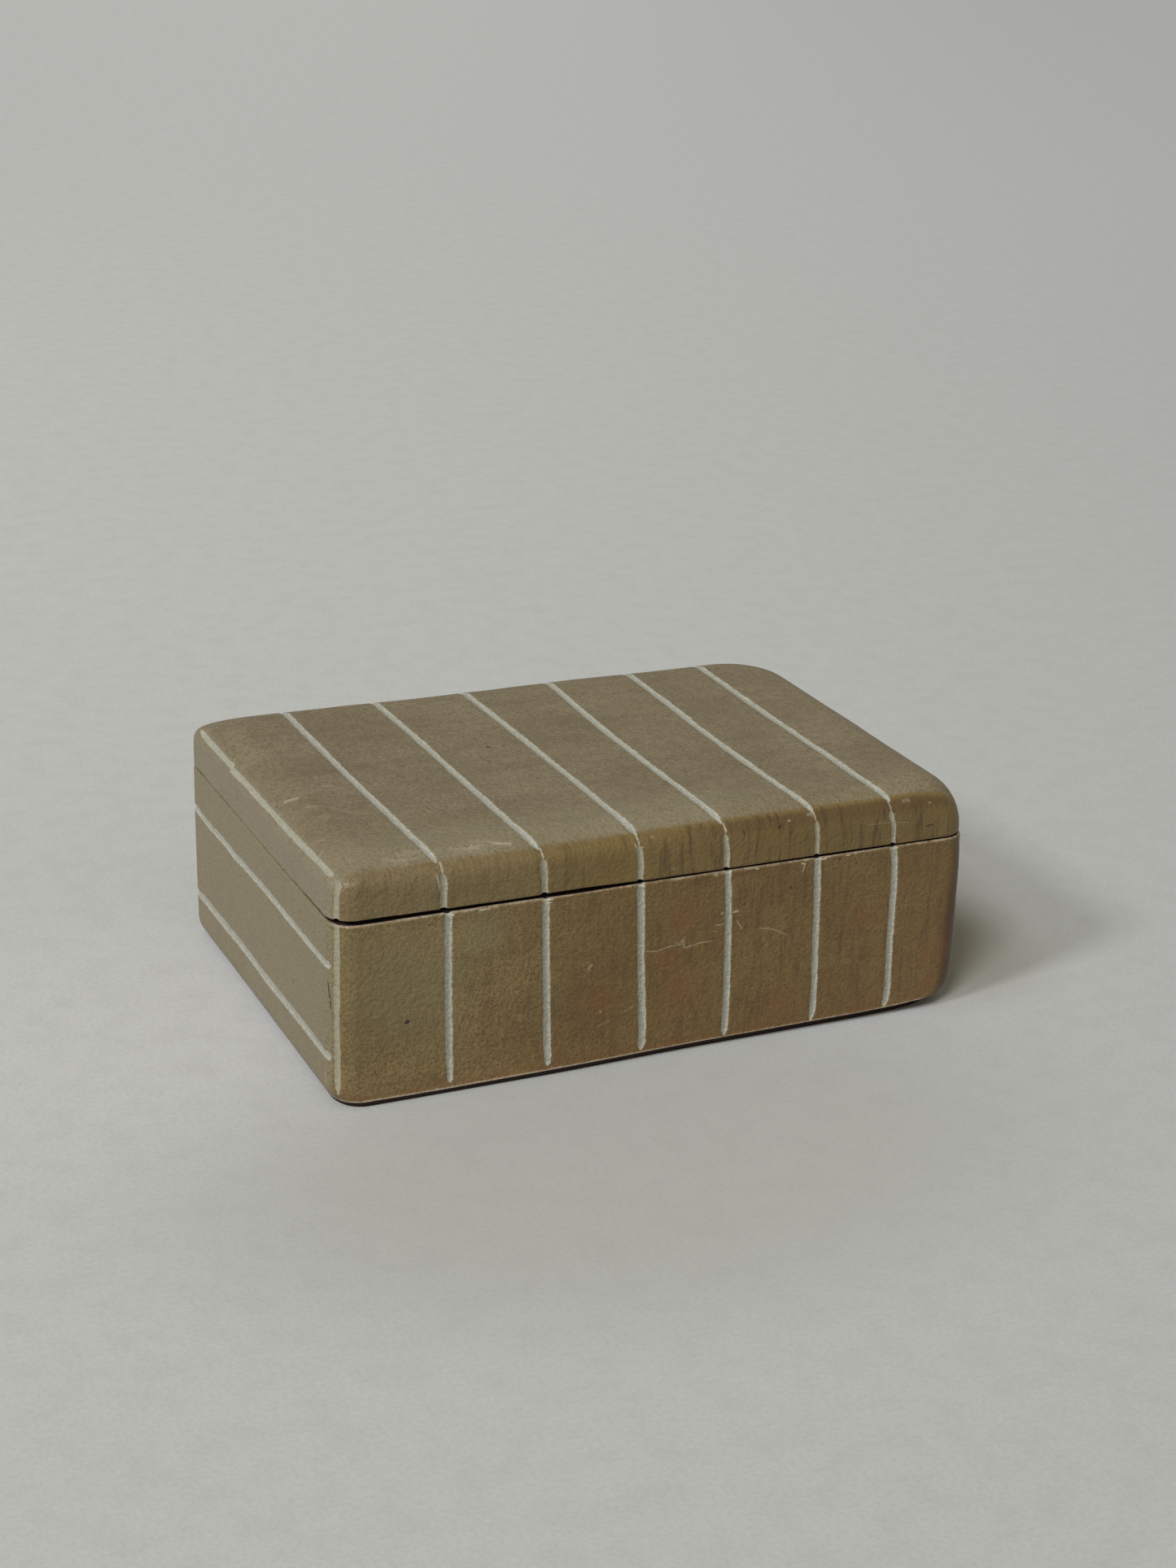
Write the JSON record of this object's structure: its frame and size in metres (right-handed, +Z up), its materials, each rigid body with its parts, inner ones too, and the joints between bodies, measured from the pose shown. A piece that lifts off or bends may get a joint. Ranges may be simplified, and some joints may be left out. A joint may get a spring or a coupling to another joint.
{
  "type": "stone lidded box",
  "caption": "Small rectangular carved stone box with a rounded lift-off lid, scored with pale stripe grooves.",
  "frame": {"origin": "centre of the flat underside that the box stands on", "axes": "+X along the long front face to the right, +Y from the front to the back, +Z up"},
  "size_m": [0.127, 0.085, 0.0463],
  "materials": {
    "base_stone": "dyed and waxed soft stone, satin, with pale scored grooves",
    "lid_stone": "dyed and waxed soft stone, satin, lightly scratched on top, with pale scored grooves"
  },
  "bodies": {
    "base": {"base": "base_stone"},
    "lid": {"lid": "lid_stone"}
  },
  "joints": [
    {"name": "lid_lift", "type": "slide", "parent": "base", "child": "lid", "axis": [0, 0, 1], "range_m": [0, 0.06]}
  ]
}
